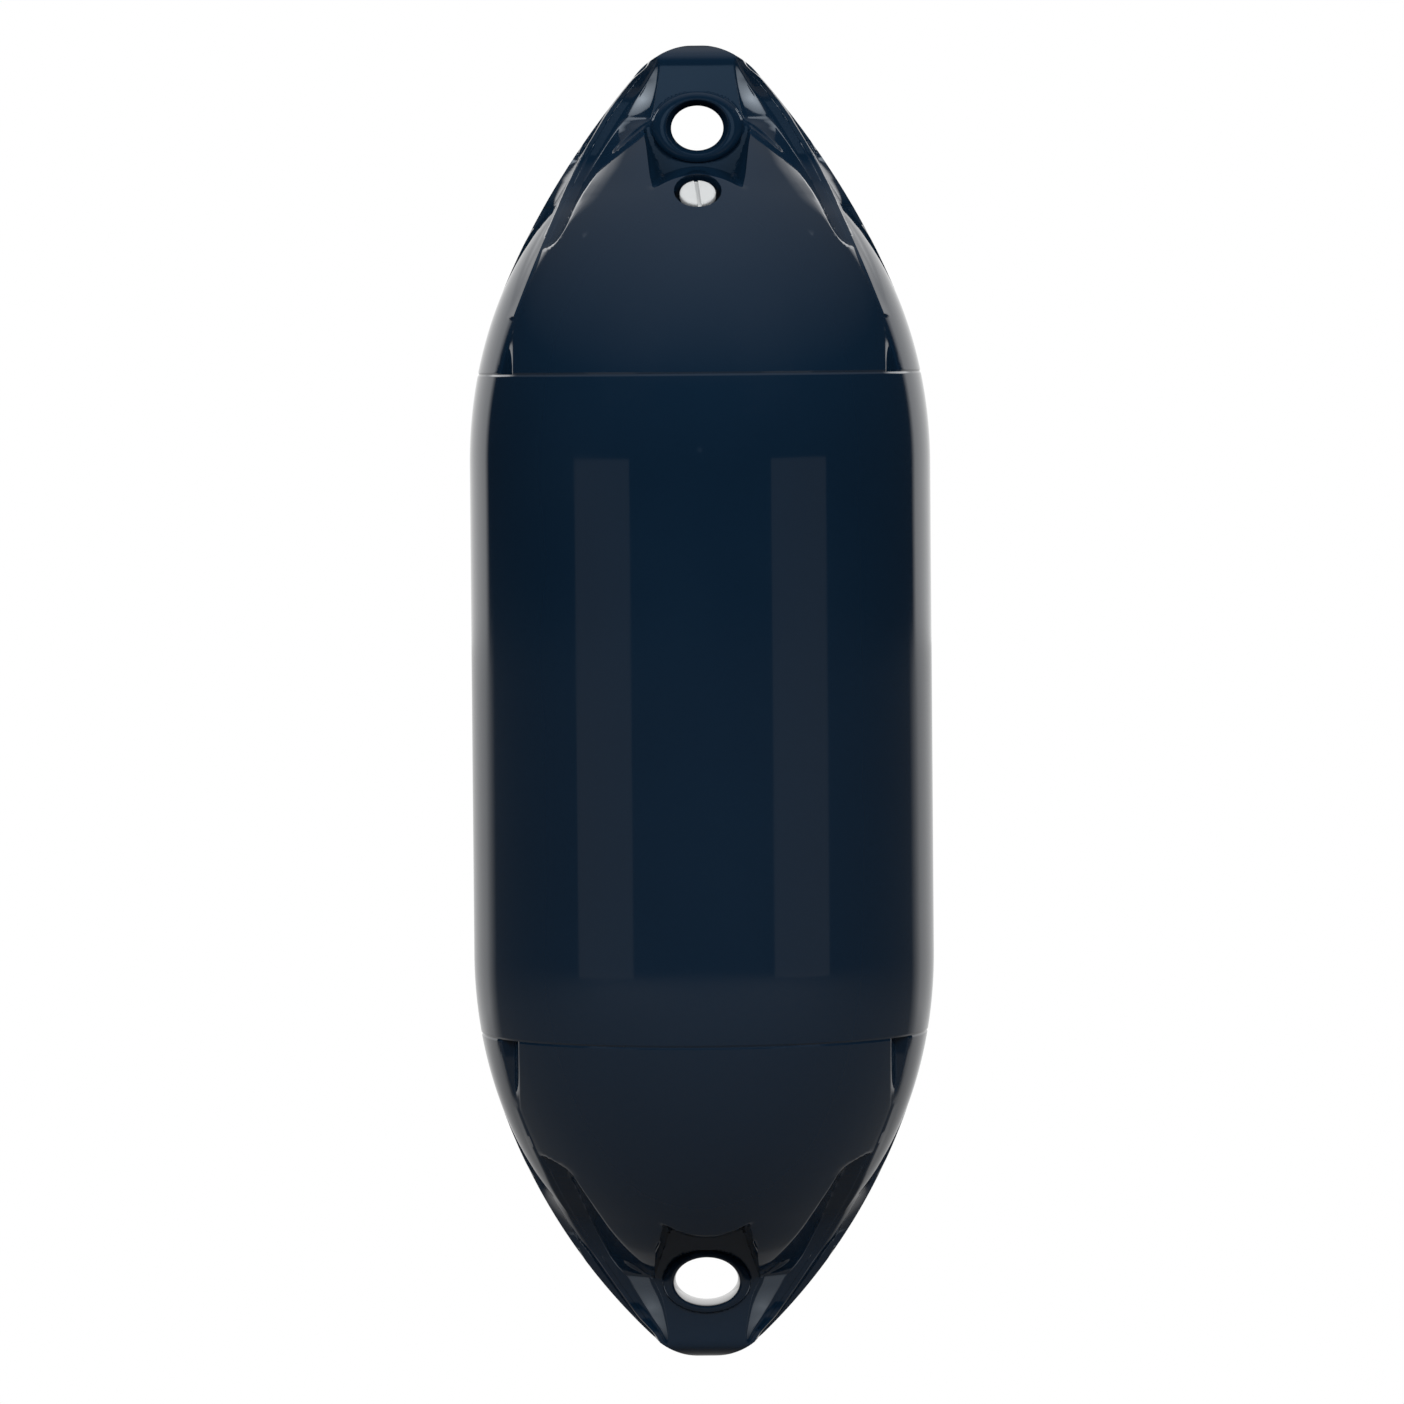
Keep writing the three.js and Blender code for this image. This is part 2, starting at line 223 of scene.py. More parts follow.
# Lamps, in metres and watts. The levels of the flank cards are a name, the card's height, its aim's height
# and its power.
LAMP_AIM = (0.0, 0.0, -0.25)
KEY_PLACE = (1.5, -1.9, 1.1)
KEY_SIZE = (1.4, 1.4)
KEY_POWER = 38.0
OVERHEAD_PLACE = (0.0, -0.3, 2.2)
OVERHEAD_SIZE = (1.6, 1.6)
OVERHEAD_POWER = 18.0
STRIP_PLACE = (0.44, -0.42, -0.29)
STRIP_SIZE = (0.30, 0.30)
STRIP_RADIANCE = 0.17
FLANK_CARD_OUT = 0.118
FLANK_CARD_LEVELS = (("upper", 0.055, 0.012, 0.0036), ("lower", -0.582, -0.537, 0.0009))
FLANK_CARD_SIZE = (0.056, 0.056)
FLANK_CARD_SPREAD = math.radians(46.0)
FLANK_CARD_COLOUR = (0.80, 0.90, 1.0)
FLANK_OUT = 0.026
FLANK_FRONT = -0.01
FRONT_CARD_PLACE = (0.0, -3.9, 0.135)
FRONT_CARD_AIM = (0.0, 0.0, 0.03)
FRONT_CARD_SIZE = (0.2, 0.17)
FRONT_CARD_SPREAD = math.radians(5.0)
FRONT_CARD_POWER = 0.000075
FRONT_CARD_COLOUR = (0.5, 0.73, 1.0)

# Plastics
PLASTIC_IOR = 1.5
PLASTIC_LEVEL = 0.5
# Width over which the painted shade in the upper eye's bore fades out
BORE_SHADE_FADE = 0.0006


def smooth_max(a, b, k):
    """The larger of a and b, with the corner between them filled by a parabola k wide."""
    overlap = np.maximum(k - np.abs(a - b), 0.0)
    return np.maximum(a, b) + overlap ** 2 / (4.0 * k)


def smooth_min(a, b, k):
    """The smaller of a and b, with the corner between them rounded by a parabola k wide."""
    return -smooth_max(-a, -b, k)


def smooth_step(value, start, end):
    """Rises from 0 at start to 1 at end as 3t^2 - 2t^3."""
    t = np.clip((value - start) / (end - start), 0.0, 1.0)
    return t * t * (3.0 - 2.0 * t)


def core_radius(end, s):
    """Radius of the turned core: a quarter ellipse R sqrt(u(2-u)) with u = (s - pole)/length, a cone tangent
    to it before the nose station, and the plain barrel past u = 1, less a V groove at the seam."""
    share = np.clip((s - end["pole"]) / DOME_LENGTH, 1e-6, 1.0)
    dome = BODY_RADIUS * np.sqrt(share * (2.0 - share))
    nose = (end["nose"] - end["pole"]) / DOME_LENGTH
    nose_radius = BODY_RADIUS * math.sqrt(nose * (2.0 - nose))
    slope = BODY_RADIUS * (1.0 - nose) / (DOME_LENGTH * math.sqrt(nose * (2.0 - nose)))
    cone = np.maximum(nose_radius + slope * (s - end["nose"]), 0.0)
    groove = SEAM_DEPTH * np.clip(1.0 - np.abs(s - SEAM_STATION) / SEAM_HALF_WIDTH, 0.0, 1.0)
    return np.where(s < end["nose"], cone, dome) - groove


def fin_edge(end, s):
    """Half width of the fin: the tip arc, then a quadratic curve that comes home on the dome, tangent at both
    ends."""
    arc_angle = math.radians(end["tip_arc"])
    start = end["tip_radius"] * np.array([math.cos(arc_angle), 1.0 - math.sin(arc_angle)])
    stop = np.array([float(core_radius(end, end["fin_end"])), end["fin_end"]])
    slope_start = math.tan(arc_angle)
    slope_stop = float(core_radius(end, end["fin_end"] + 0.5) - core_radius(end, end["fin_end"] - 0.5))
    run = (stop[0] - start[0] - slope_stop * (stop[1] - start[1])) / (slope_start - slope_stop)
    middle = start + run * np.array([slope_start, 1.0])
    t = np.linspace(0.0, 1.0, 200)[:, None]
    curve = (1 - t) ** 2 * start + 2 * t * (1 - t) * middle + t ** 2 * stop
    arc = np.sqrt(np.maximum(end["tip_radius"] ** 2 - (end["tip_radius"] - s) ** 2, 0.0))
    return np.where(s < start[1], arc, np.interp(s, curve[:, 1], curve[:, 0]))


def line_width(points, s):
    """The value of one of the lines at a station: a cubic between its points that never swings past them.
    Its slope at a point is the harmonic mean of the slopes on both sides, or nothing where they differ in
    sign."""
    stations, widths = np.array(points, float).T
    rise = np.diff(widths) / np.diff(stations)
    left, right = rise[:-1], rise[1:]
    same = left * right > 0.0
    inner = np.where(same, 2.0 * left * right / np.where(same, left + right, 1.0), 0.0)
    slopes = np.concatenate([rise[:1], inner, rise[-1:]])
    place = np.clip(np.searchsorted(stations, s, side="right") - 1, 0, len(stations) - 2)
    step = stations[place + 1] - stations[place]
    t = np.clip((s - stations[place]) / step, 0.0, 1.0)
    level = (1.0 + 2.0 * t) * (1.0 - t) ** 2 * widths[place] + t * t * (3.0 - 2.0 * t) * widths[place + 1]
    return level + step * (t * (1.0 - t) ** 2 * slopes[place] - t * t * (1.0 - t) * slopes[place + 1])


def silhouette(end, s):
    """Half width of the whole end: the wider of the fin and the core."""
    core = core_radius(end, s)
    return np.where(s < end["fin_end"], np.maximum(fin_edge(end, s), core), core)


def eye_distance(end, x, s, aspect):
    """Distance from the middle of the eye, measured along s, where an oval wider than high by the aspect is a
    circle."""
    return np.sqrt((x / aspect) ** 2 + (s - end["eye"]) ** 2)


def core_surface(end, x, s):
    """Half thickness of the dome. Near its nose its section is a little square, as in (x/R)^n + (y/R)^n = 1
    with n falling to 2 where the dome is round."""
    power = 2.0 + SQUARE_NOSE * (1.0 - smooth_step(s, *SQUARE_NOSE_FADE))
    radius = np.maximum(core_radius(end, s), 1e-3)
    return radius * np.maximum(1.0 - np.minimum(x / radius, 1.0) ** power, 0.0) ** (1.0 / power)


def inner_surface(end, x, s):
    """The lug's flat face and the dome behind it."""
    lug = LUG_HALF * (1.0 - smooth_step(s, *LUG_FADE))
    return smooth_max(core_surface(end, x, s), lug, LUG_BLEND)


def web_surface(end, x, s):
    """The web: its flat, raised a little inside a fine step, and an outer wall that steepens down to the
    fin."""
    face = line_width(end["face"], s)
    rim = line_width(end["web"], s)
    step = WEB_STEP_HEIGHT * np.clip((rim - WEB_STEP - x) / WEB_STEP_RUN, 0.0, 1.0)
    down = np.clip((x - rim) / line_width(end["wall"], s), 0.0, 1.0) ** WALL_CURVE
    wall = FIN_HALF + (face - FIN_HALF) * (1.0 - down)
    web = np.where(x < rim, face + step, wall)
    return smooth_min(web, face + WEB_FOOT_SLOPE * (end["web_foot"] - s), WEB_BLEND)


def body_surface(end, x, s):
    """The dome and the lug, turned down from the ridge to the foot by a straight flank, joined with the
    web."""
    ridge = line_width(end["ridge"], s)
    foot = np.maximum(line_width(end["foot"], s), ridge + MIN_FLANK_WIDTH)
    face = line_width(end["face"], s)
    inner = inner_surface(end, x, s)
    top = inner_surface(end, ridge, s)
    drop = np.maximum(top - face, MIN_FLANK_DROP)
    slope = np.where(x > ridge, np.maximum(drop / (foot - ridge), MIN_FLANK_SLOPE), RIDGE_RISE)
    flank = smooth_max(top - slope * (x - ridge), face, FOOT_BLEND)
    inner = np.where(top > face, smooth_min(inner, flank, RIDGE_BLEND), inner)
    inner = np.where(x > foot, np.minimum(inner, core_surface(end, x, s)), inner)
    return smooth_max(inner, web_surface(end, x, s), WEB_BLEND)


def channel_surface(x, s):
    """The rope channel: the lug's face inside its outline, and walls that open outwards by the draft."""
    side = CHANNEL_HALF_WIDTH - CHANNEL_SLANT * np.maximum(s - CHANNEL_SHOULDER, 0.0)
    beyond = s - LEDGE_STATION - LEDGE_DROP * (x / LEDGE_HALF_WIDTH) ** 2
    outside = smooth_max(x - side, beyond, CHANNEL_CORNER_BLEND)
    return LUG_HALF + CHANNEL_DRAFT * np.maximum(outside, 0.0)


def boss_surface(end, x, s):
    """The ring that stands on the lug round the eye, or 0 outside it."""
    ring = eye_distance(end, x, s, end["boss_aspect"])
    fall = np.clip((ring - (end["boss_radius"] - BOSS_EDGE)) / BOSS_EDGE, 0.0, 1.0)
    boss = LUG_HALF + BOSS_HEIGHT * np.sqrt(1.0 - fall ** 2)
    return np.where(ring < end["boss_radius"], boss, 0.0)


def half_thickness(end, x, s):
    """Half thickness of an end: the body with its webs, rounded at the tip, with the fin round it, the rope
    channel cut into it and the ring round the eye on top."""
    x = np.abs(x)
    edge = silhouette(end, s)
    height = body_surface(end, x, s)
    nose = np.sqrt(1.0 - np.clip(1.0 - s / NOSE_LENGTH, 0.0, 1.0) ** NOSE_POWER)
    height = np.where(s < NOSE_LENGTH, np.minimum(height, LUG_HALF * nose), height)
    fin_shape = np.sqrt(1.0 - np.clip((x - (edge - FIN_ROUND)) / FIN_ROUND, 0.0, 1.0) ** 2)
    fin = np.where(s < end["fin_end"], FIN_HALF * fin_shape, 0.0)
    height = np.maximum(height, fin)
    height = np.minimum(height, EDGE_CURVE * np.sqrt(np.maximum(edge - x, 0.0)))
    height = smooth_min(height, channel_surface(x, s), CHANNEL_FLOOR_BLEND)
    height = np.where(x < edge - BOSS_CLEAR, np.maximum(height, boss_surface(end, x, s)), height)
    return np.where(x >= edge, 0.0, height)


def guide_lines(end, s):
    """The widths that columns of the skin follow at each station: the eye's window and the rope channel, the
    ridge, the flank's foot, both sides of the web's step, the web's edge, the root of the fin and the
    silhouette. None of them crosses the next."""
    edge = silhouette(end, s)
    ridge = np.minimum(line_width(end["ridge"], s), RIDGE_REACH * edge)
    foot = np.minimum(np.maximum(line_width(end["foot"], s), ridge + MIN_FLANK_WIDTH), FOOT_REACH * edge)
    web = np.minimum(line_width(end["web"], s), WEB_REACH * edge)
    step = np.maximum(web - WEB_STEP, STEP_REACH * web)
    channel = CHANNEL_HALF_WIDTH - CHANNEL_SLANT * np.maximum(s - CHANNEL_SHOULDER, 0.0)
    channel = np.maximum(channel, LEDGE_HALF_WIDTH + RIDGE_MARGIN) + CHANNEL_MARGIN
    turn = smooth_step(s, end["eye"] - WINDOW_TURN, end["eye"] + WINDOW_TURN)
    inner = (ridge - RIDGE_MARGIN) + (channel - ridge + RIDGE_MARGIN) * turn
    inner = inner + (INNER_SHARE * ridge - inner) * smooth_step(s, *INNER_FADE)
    inner = np.minimum(inner, INNER_REACH * ridge)
    foot = np.minimum(foot, step - FOOT_GAP * edge)
    ridge = np.minimum(ridge, foot - RIDGE_GAP * edge)
    core = np.sqrt(np.maximum(core_radius(end, s) ** 2 - ROOT_HEIGHT ** 2, 0.0))
    root = np.maximum(web + line_width(end["wall"], s), core)
    root = np.clip(root, web + ROOT_NEAR * (edge - web), edge - ROOT_FAR * (edge - web))
    return np.stack([inner, ridge, foot, step - WEB_STEP_RUN, step, web, root, edge])


def columns(end, s, counts):
    """Widths of the columns at each station, evenly spread between the guide lines, and closer together
    towards the end of the last two stretches."""
    guides = guide_lines(end, s)
    pieces = [np.zeros((1, s.size))]
    below = np.zeros(s.size)
    for place, (guide, count) in enumerate(zip(guides, counts)):
        t = np.linspace(0.0, 1.0, count + 1)[1:, None]
        share = t if place < len(counts) - 2 else 1.0 - (1.0 - t) ** 2
        pieces.append(below + (guide - below) * share)
        below = guide
    half = np.concatenate(pieces)
    return np.concatenate([-half[:0:-1], half]).T


def grid_faces(rows, cols):
    """Quads of a grid of vertices stored row by row."""
    index = np.arange(rows * cols).reshape(rows, cols)
    return np.stack([index[:-1, :-1], index[:-1, 1:], index[1:, 1:], index[1:, :-1]], axis=-1)


def new_object(name, data):
    """A new object in the scene for a mesh, a camera or a lamp."""
    thing = bpy.data.objects.new(name, data)
    bpy.context.scene.collection.objects.link(thing)
    return thing


def shade_smooth(mesh):
    """Smooth shading with sharp edges where two faces meet at more than the sharp angle."""
    mesh.polygons.foreach_set("use_smooth", np.ones(len(mesh.polygons), bool))
    mesh.set_sharp_from_angle(angle=SHARP_ANGLE)


def mesh_object(name, points, faces):
    """A welded, smooth mesh object from points in metres and quads, with every face turned outwards."""
    mesh = bpy.data.meshes.new(name)
    mesh.from_pydata(points, [], faces.tolist())
    work = bmesh.new()
    work.from_mesh(mesh)
    bmesh.ops.remove_doubles(work, verts=work.verts, dist=2e-7)
    bmesh.ops.dissolve_degenerate(work, edges=work.edges, dist=1e-8)
    loose = [vert for vert in work.verts if not vert.link_faces]
    bmesh.ops.delete(work, geom=loose, context="VERTS")
    bmesh.ops.recalc_face_normals(work, faces=work.faces)
    work.to_mesh(mesh)
    work.free()
    shade_smooth(mesh)
    return new_object(name, mesh)


def to_frame(end, x, y, s):
    """Points in metres, in the frame of the object, from the measures of an end."""
    z = end["tip"] - end["up"] * s
    return np.stack([x, y, z], axis=-1).reshape(-1, 3) * MM


def end_rows(end):
    """Stations of the rows: dense round the nose, the eye, the ledge and the seam. Each stretch is given by
    the station where it stops and by its count of rows."""
    stretches = [
        (end["eye"] - WINDOW_RISE, 14), (WINDOW_END, 48), (61.5, 20), (76.0, 20),
        (118.0, 40), (126.0, 14), (147.0, 16), (150.0, 20),
    ]
    rows = [NOSE_LENGTH * np.linspace(0.0, 1.0, 21)[:-1] ** 2]
    start = NOSE_LENGTH
    for stop, count in stretches:
        rows.append(np.linspace(start, stop, count, endpoint=False))
        start = stop
    rows = np.concatenate(rows)
    return np.append(rows[rows < SEAM_STATION - 1e-6], SEAM_STATION)


def ledge_bend(x, s):
    """How far a row bends to follow the arch of the ledge: most at the ledge, nothing at the eye and at the
    web's foot."""
    share = smooth_step(s, *LEDGE_BEND_RISE) * (1.0 - smooth_step(s, *LEDGE_BEND_FALL))
    return LEDGE_DROP * np.minimum((x / LEDGE_HALF_WIDTH) ** 2, LEDGE_BEND_MOST) * share


def end_skin(end):
    """The sheet of an end, as x, s, its half thickness, its quads and the loop of points round the window that
    is left for the eye."""
    rows = end_rows(end)
    x = columns(end, rows, COLUMN_COUNTS)
    s = rows[:, None] + ledge_bend(x, rows[:, None])
    on_edge = np.abs(x) > 0.999999 * silhouette(end, rows)[:, None]
    x = np.where(on_edge, np.sign(x) * silhouette(end, s), x)
    h = half_thickness(end, x, s)
    middle = x.shape[1] // 2
    left, right = middle - COLUMN_COUNTS[0], middle + COLUMN_COUNTS[0]
    top = int(np.searchsorted(rows, end["eye"] - WINDOW_RISE))
    low = int(np.searchsorted(rows, WINDOW_END - 1e-6))
    quads = grid_faces(*x.shape)
    keep = np.ones(quads.shape[:2], bool)
    keep[top:low, left:right] = False
    window = [(row, right) for row in range(top, low)] + [(low, col) for col in range(right, left, -1)]
    window += [(row, left) for row in range(low, top, -1)] + [(top, col) for col in range(left, right)]
    window = np.array(window + window[:1])
    loop = np.stack([x[window[:, 0], window[:, 1]], s[window[:, 0], window[:, 1]]], axis=1)
    return x, s, h, quads[keep], loop


def eye_ring(end, loop):
    """Rings from the window's edge in to the mouth of the eye, then down its wall: straight blends between
    the window and the oval of the mouth, a quarter round at the rim, and a waist half way through."""
    aspect = end["eye_aspect"]
    angle = np.arctan2(loop[:, 1] - end["eye"], loop[:, 0] / aspect)
    mouth = end["eye_radius"] + end["eye_flare"] + RIM_ROUND
    oval = np.stack([aspect * mouth * np.cos(angle), end["eye"] + mouth * np.sin(angle)], axis=1)
    share = np.linspace(0.0, 1.0, 25)[:, None, None]
    flat = loop * (1.0 - share) + oval * share
    x, s = flat[..., 0], flat[..., 1]
    face = half_thickness(end, x, s)
    face[-1] = LUG_HALF + BOSS_HEIGHT
    turn = np.linspace(0.0, math.pi / 2, 6)[1:]
    round_radius = mouth - RIM_ROUND * np.sin(turn)
    round_height = LUG_HALF + BOSS_HEIGHT - RIM_ROUND * (1.0 - np.cos(turn))
    depth = np.linspace(1.0, 0.0, 9)[1:]
    wall_height = round_height[-1] * depth
    wall_radius = end["eye_radius"] + end["eye_flare"] * depth ** WAIST_POWER
    radius = np.concatenate([round_radius, wall_radius])[:, None]
    wall_x = aspect * radius * np.cos(angle)
    wall_s = end["eye"] + radius * np.sin(angle)
    wall_y = np.concatenate([round_height, wall_height])[:, None] + 0.0 * wall_x
    return np.concatenate([x, wall_x]), np.concatenate([s, wall_s]), np.concatenate([face, wall_y])


def build_end(name, end):
    """One end of the body as a closed mesh: two sheets, two eye patches that meet half way, and a flat cap at
    the seam."""
    x, s, h, quads, loop = end_skin(end)
    ring_x, ring_s, ring_y = eye_ring(end, loop)
    ring_quads = grid_faces(*ring_x.shape).reshape(-1, 4)
    points, faces, count = [], [], 0
    for side in (-1.0, 1.0):
        for grid, grid_quads in (((x, side * h, s), quads), ((ring_x, side * ring_y, ring_s), ring_quads)):
            block = to_frame(end, *grid)
            points.append(block)
            faces.append(grid_quads.reshape(-1, 4) + count)
            count += len(block)
    rim = x[-1] / np.abs(x[-1]).max()
    radius = float(silhouette(end, SEAM_STATION))
    shares = np.array([1.0, 0.5, 0.0])[:, None]
    for side in (-1.0, 1.0):
        cap_x = rim * radius * shares
        cap_y = side * h[-1] * shares
        block = to_frame(end, cap_x, cap_y, np.full_like(cap_x, SEAM_STATION))
        points.append(block)
        faces.append(grid_faces(*cap_x.shape).reshape(-1, 4) + count)
        count += len(block)
    return mesh_object(name, np.concatenate(points), np.concatenate(faces))


def revolved(name, profile, sides, place=Matrix.Identity(4)):
    """A profile of [radius, height] pairs turned about Z, then placed."""
    profile = np.asarray(profile, float)
    angle = np.linspace(0.0, 2.0 * math.pi, sides + 1)
    x = profile[:, :1] * np.cos(angle)
    y = profile[:, :1] * np.sin(angle)
    z = profile[:, 1:] + 0.0 * angle
    points = np.stack([x, y, z], axis=-1).reshape(-1, 3) * MM
    faces = grid_faces(len(profile), sides + 1).reshape(-1, 4)
    turn = np.array(place)
    return mesh_object(name, points @ turn[:3, :3].T + turn[:3, 3], faces)


def build_barrel():
    """The barrel between the seams, with the last of both domes: the core's radius turned about Z and capped
    flat."""
    step = np.linspace(0.0, 3.0, 21)
    dome = np.linspace(3.0, UPPER["pole"] + DOME_LENGTH - SEAM_STATION, 20)[1:]
    stations = SEAM_STATION + np.concatenate([step, dome])
    upper = [(float(core_radius(UPPER, s)), UPPER["tip"] - s) for s in stations]
    lower = [(float(core_radius(LOWER, s)), LOWER["tip"] + s) for s in stations[::-1]]
    middle = [(BODY_RADIUS, z) for z in np.linspace(upper[-1][1], lower[0][1], 24)[1:-1]]
    profile = [(0.0, upper[0][1]), *upper, *middle, *lower, (0.0, lower[-1][1])]
    return revolved("barrel", profile, BARREL_SIDES)


def apply_cut(piece, cutter):
    """Takes the cutter's volume out of the piece and removes the cutter."""
    cut = piece.modifiers.new("cut", "BOOLEAN")
    cut.operation = "DIFFERENCE"
    cut.solver = "EXACT"
    cut.object = cutter
    graph = bpy.context.evaluated_depsgraph_get()
    cut_mesh = bpy.data.meshes.new_from_object(piece.evaluated_get(graph))
    piece.modifiers.clear()
    piece.data = cut_mesh
    bpy.data.objects.remove(cutter)
    shade_smooth(cut_mesh)


def valve_place():
    """The valve's own frame: Z out of the body, along the axis that the screw's joint states."""
    joint = next(joint for joint in frame["joints"] if joint["type"] == "hinge")
    axis = Vector(joint["axis"])
    turn = axis.to_track_quat("Z", "Y").to_matrix().to_4x4()
    return Matrix.Translation(Vector(joint["pos_m"])) @ turn


def head_profile():
    """Section of the screw's head, from the middle of its crowned top over two rounded edges to the shank."""
    arc = np.linspace(0.0, math.pi / 2, 7)
    flat = HEAD_RADIUS - HEAD_EDGE
    side = HEAD_TOP - HEAD_CROWN
    foot = HEAD_RADIUS - HEAD_UNDER_EDGE
    top = [(r, HEAD_TOP - HEAD_CROWN * (r / HEAD_RADIUS) ** 2) for r in np.linspace(0.0, flat, 12)]
    corner = [(flat + HEAD_EDGE * math.sin(a), side - HEAD_EDGE * (1 - math.cos(a))) for a in arc]
    under = [(HEAD_RADIUS - HEAD_UNDER_EDGE * (1 - math.cos(a)),
              HEAD_FOOT + HEAD_UNDER_EDGE * (1 - math.sin(a))) for a in arc]
    return np.array(top + corner[1:] + under[:-1] + [(foot, HEAD_FOOT), (SHANK_RADIUS, HEAD_FOOT)])


def build_screw(place):
    """The valve screw: a slotted head, and a shank with a helical thread whose ridge follows the angle plus
    the height over the pitch and fades out at both ends."""
    profile = head_profile()
    angle = np.linspace(0.0, 2.0 * math.pi, VALVE_SIDES + 1)
    shank = np.linspace(0.0, 1.0, 150)[1:]
    height = HEAD_FOOT - SHANK_LENGTH * shank[:, None] + 0.0 * angle
    phase = (angle / (2.0 * math.pi) + height / THREAD_PITCH) % 1.0
    ridge = 1.0 - np.abs(2.0 * phase - 1.0)
    fade = smooth_step(shank, 0.04, 0.12)[:, None] * (1.0 - smooth_step(shank, 0.93, 0.99)[:, None])
    radius = SHANK_RADIUS - THREAD_DEPTH * (1.0 - ridge * fade) * smooth_step(shank, 0.0, 0.02)[:, None]
    radius = np.concatenate([profile[:, :1] + 0.0 * angle, radius, 0.0 * angle[None]])
    height = np.concatenate([profile[:, 1:] + 0.0 * angle, height, height[-1:]])
    points = np.stack([radius * np.cos(angle), radius * np.sin(angle), height], axis=-1).reshape(-1, 3) * MM
    turn = np.array(place)
    faces = grid_faces(len(radius), VALVE_SIDES + 1).reshape(-1, 4)
    screw = mesh_object("screw", points @ turn[:3, :3].T + turn[:3, 3], faces)
    slot = box_cutter(SLOT_WIDTH, 2.0 * HEAD_RADIUS + 1.0, 2.0 * SLOT_DEPTH)
    on_head = Matrix.Translation((0, 0, HEAD_TOP * MM)) @ Matrix.Rotation(SLOT_TURN, 4, "Z")
    slot.data.transform(place @ on_head)
    apply_cut(screw, slot)
    return screw


def box_cutter(width, length, height):
    """A box centred on its origin, in metres."""
    work = bmesh.new()
    size = Matrix.Diagonal((width * MM, length * MM, height * MM, 1.0))
    bmesh.ops.create_cube(work, size=1.0, matrix=size)
    mesh = bpy.data.meshes.new("cutter")
    work.to_mesh(mesh)
    work.free()
    return new_object("cutter", mesh)


def cut_pocket(piece, place):
    """Sinks the valve's recess and bore into the upper end."""
    profile = [
        (0.0, -POCKET_DEPTH), (POCKET_RADIUS, -POCKET_DEPTH), (POCKET_RADIUS, INSERT_TOP),
        (RECESS_RADIUS, INSERT_TOP), (RECESS_RADIUS, POCKET_MOUTH), (0.0, POCKET_MOUTH),
    ]
    apply_cut(piece, revolved("cutter", profile, VALVE_SIDES, place))


def build_seal(place):
    """The sealing ring under the head: a circle of the wire's radius carried round the shank."""
    around = np.linspace(0.0, 2.0 * math.pi, 25)
    profile = [(SEAL_RING_RADIUS + SEAL_WIRE_RADIUS * math.cos(a),
                SEAL_CENTRE + SEAL_WIRE_RADIUS * math.sin(a)) for a in around]
    return revolved("seal_ring", profile, SEAL_SIDES, place)


def new_material(name):
    """A material with a Principled shader, and its nodes and links."""
    material = bpy.data.materials.new(name)
    material.use_nodes = True
    tree = material.node_tree
    return material, tree, tree.nodes["Principled BSDF"]


def joined(tree, operation, a, b=0.0):
    """Two values joined by a math node."""
    node = tree.nodes.new("ShaderNodeMath")
    node.operation = operation
    for socket, value in zip(node.inputs, (a, b)):
        if isinstance(value, float):
            socket.default_value = value
        else:
            tree.links.new(value, socket)
    return node.outputs["Value"]


def ramp(tree, value, start, end, low=0.0, high=1.0):
    """Linear from low at start to high at end."""
    node = tree.nodes.new("ShaderNodeMapRange")
    for socket, number in zip(("From Min", "From Max", "To Min", "To Max"), (start, end, low, high)):
        node.inputs[socket].default_value = number
    tree.links.new(value, node.inputs["Value"])
    return node.outputs["Result"]


def length_of(tree, a, b):
    """The length of the vector (a, b)."""
    squares = joined(tree, "ADD", joined(tree, "POWER", a, 2.0), joined(tree, "POWER", b, 2.0))
    return joined(tree, "SQRT", squares)


def level_share(tree, split):
    """Y over the length of (X, Y), and that length."""
    length = length_of(tree, split.outputs["X"], split.outputs["Y"])
    return joined(tree, "DIVIDE", split.outputs["Y"], length), length


def surface_detail():
    """Node group for moulded surfaces: two scales of noise on Object coordinates, put out as a mask between
    0 and 1 and as a height."""
    group = bpy.data.node_groups.new("moulded_surface", "ShaderNodeTree")
    for socket, default in (("Wave Scale", 20.0), ("Speck Scale", 900.0), ("Speck Share", 0.1)):
        item = group.interface.new_socket(socket, in_out="INPUT", socket_type="NodeSocketFloat")
        item.default_value = default
    for socket in ("Mask", "Height"):
        group.interface.new_socket(socket, in_out="OUTPUT", socket_type="NodeSocketFloat")
    nodes, links = group.nodes, group.links
    inputs = nodes.new("NodeGroupInput")
    outputs = nodes.new("NodeGroupOutput")
    where = nodes.new("ShaderNodeTexCoord")
    wave = nodes.new("ShaderNodeTexNoise")
    speck = nodes.new("ShaderNodeTexNoise")
    blend = nodes.new("ShaderNodeMix")
    wave.inputs["Detail"].default_value = 2.0
    speck.inputs["Detail"].default_value = 1.0
    links.new(where.outputs["Object"], wave.inputs["Vector"])
    links.new(where.outputs["Object"], speck.inputs["Vector"])
    links.new(inputs.outputs["Wave Scale"], wave.inputs["Scale"])
    links.new(inputs.outputs["Speck Scale"], speck.inputs["Scale"])
    links.new(inputs.outputs["Speck Share"], blend.inputs["Factor"])
    links.new(wave.outputs["Fac"], blend.inputs["A"])
    links.new(speck.outputs["Fac"], blend.inputs["B"])
    links.new(wave.outputs["Fac"], outputs.inputs["Mask"])
    links.new(blend.outputs["Result"], outputs.inputs["Height"])
    return group


